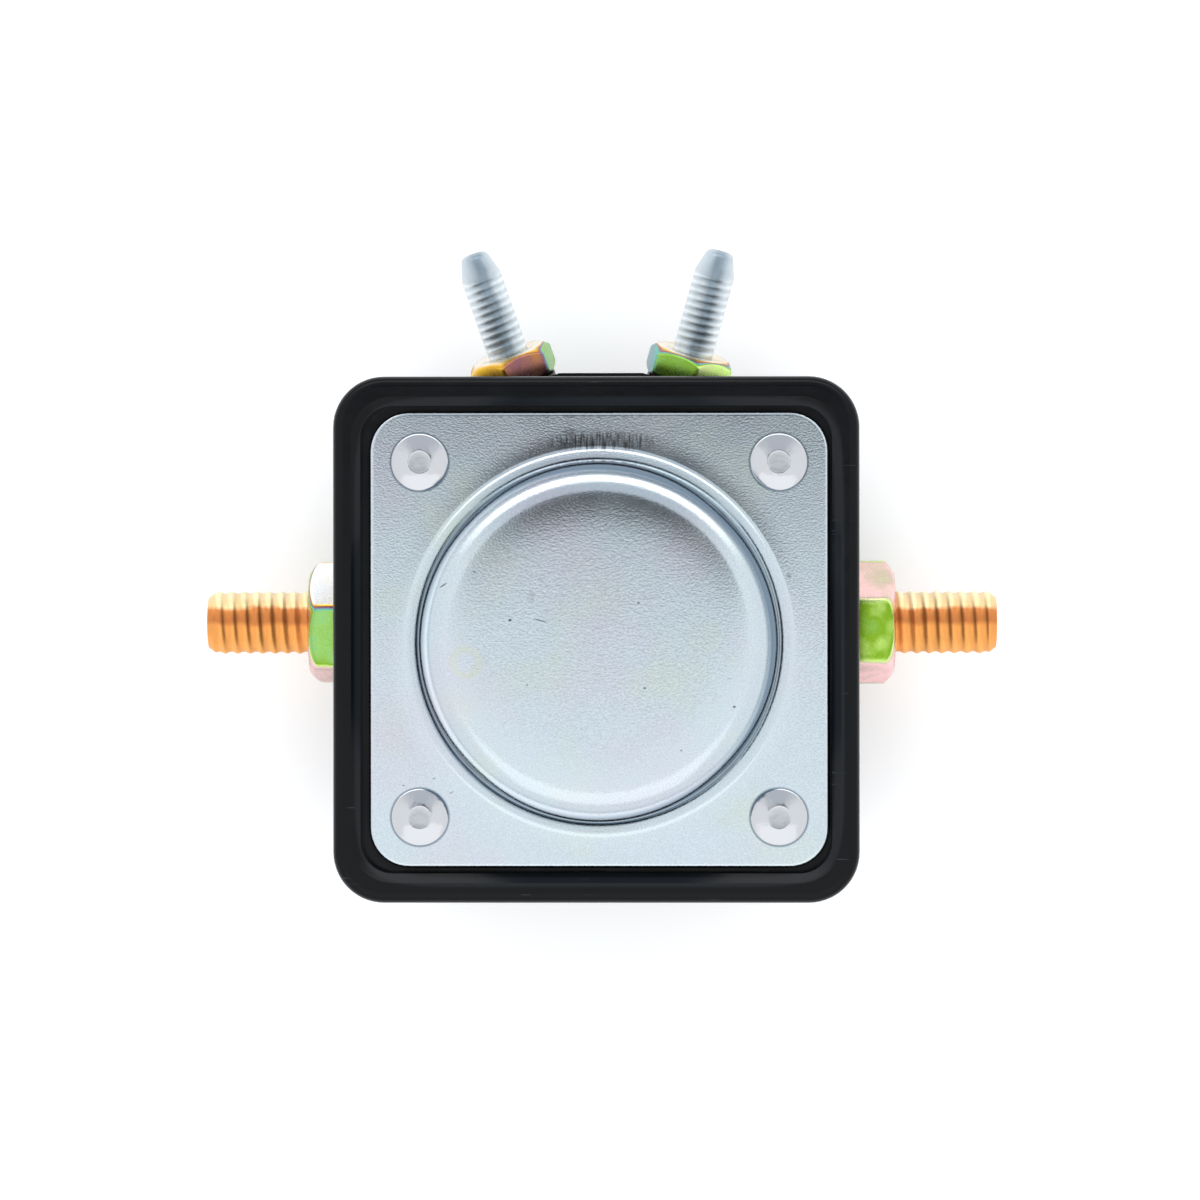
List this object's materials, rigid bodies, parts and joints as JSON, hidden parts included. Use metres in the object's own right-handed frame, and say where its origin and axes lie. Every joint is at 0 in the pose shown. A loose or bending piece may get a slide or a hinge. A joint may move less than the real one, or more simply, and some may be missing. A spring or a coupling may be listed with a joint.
{
  "type": "starter relay",
  "caption": "Square moulded starter relay with a drawn steel dome cover, copper line studs on two sides, leaning coil studs, and a sprung plunger and contact disc inside.",
  "frame": {"origin": "middle of the flat back face, on the axis of the dome", "axes": "+X along the line studs to the right, +Y towards the coil studs, +Z out of the dome; the relay lies on its back face"},
  "size_m": [0.0804, 0.0652, 0.0405],
  "materials": {
    "phenolic": "black moulded phenolic, semi-gloss",
    "zinc_sheet": "drawn steel sheet, clear zinc plated, fine grain",
    "gasket_paper": "dark fibre gasket",
    "rivet_steel": "zinc plated steel rivet",
    "stud_copper": "bare copper",
    "yellow_zinc": "yellow zinc plated, rainbow tinted",
    "stud_zinc": "clear zinc plated steel",
    "insulator": "fibre board",
    "terminal_brass": "brass",
    "lead_sleeve": "varnished sleeve over copper wire",
    "magnet_steel": "soft iron, plated",
    "bobbin_resin": "moulded resin",
    "enamelled_wire": "enamelled copper wire",
    "coil_tape": "coil tape",
    "pad_rubber": "rubber",
    "rod_steel": "turned non-magnetic steel",
    "spring_steel": "spring steel"
  },
  "bodies": {
    "frame": {"housing": "phenolic", "cover": "zinc_sheet", "gasket": "gasket_paper", "rivets": "rivet_steel", "line_stud_left": "stud_copper", "line_stud_right": "stud_copper", "line_nut_left": "yellow_zinc", "line_nut_right": "yellow_zinc", "line_stud_seals": "insulator", "coil_stud_left": "stud_zinc", "coil_stud_right": "stud_zinc", "coil_nut_left": "yellow_zinc", "coil_nut_right": "yellow_zinc", "coil_stud_seals": "insulator", "coil_lug_left": "terminal_brass", "coil_lug_right": "terminal_brass", "coil_lead_left": "lead_sleeve", "coil_lead_right": "lead_sleeve", "coil_cup": "magnet_steel", "fixed_core": "magnet_steel", "bobbin": "bobbin_resin", "winding": "enamelled_wire", "winding_tape": "coil_tape", "guide_tube": "terminal_brass", "bumper_pad": "pad_rubber", "return_spring": "spring_steel"},
    "plunger_group": {"plunger": "magnet_steel", "plunger_rod": "rod_steel", "rod_clip": "spring_steel", "contact_spring": "spring_steel"},
    "disc_group": {"contact_disc": "stud_copper", "disc_bush_upper": "insulator", "disc_bush_lower": "insulator"}
  },
  "joints": [
    {"name": "plunger_slide", "type": "slide", "parent": "frame", "child": "plunger_group", "axis": [0, 0, -1], "range_m": [0, 0.0026], "stiffness_N_per_m": 600, "springref_m": -0.004, "deforming": ["return_spring"]},
    {"name": "disc_overtravel", "type": "slide", "parent": "plunger_group", "child": "disc_group", "axis": [0, 0, 1], "range_m": [0, 0.0006], "stiffness_N_per_m": 1500, "springref_m": -0.002, "deforming": ["contact_spring"]}
  ],
  "couplings": [
    {"joint": "disc_overtravel", "follows": "plunger_slide", "ratio": 0.23}
  ]
}
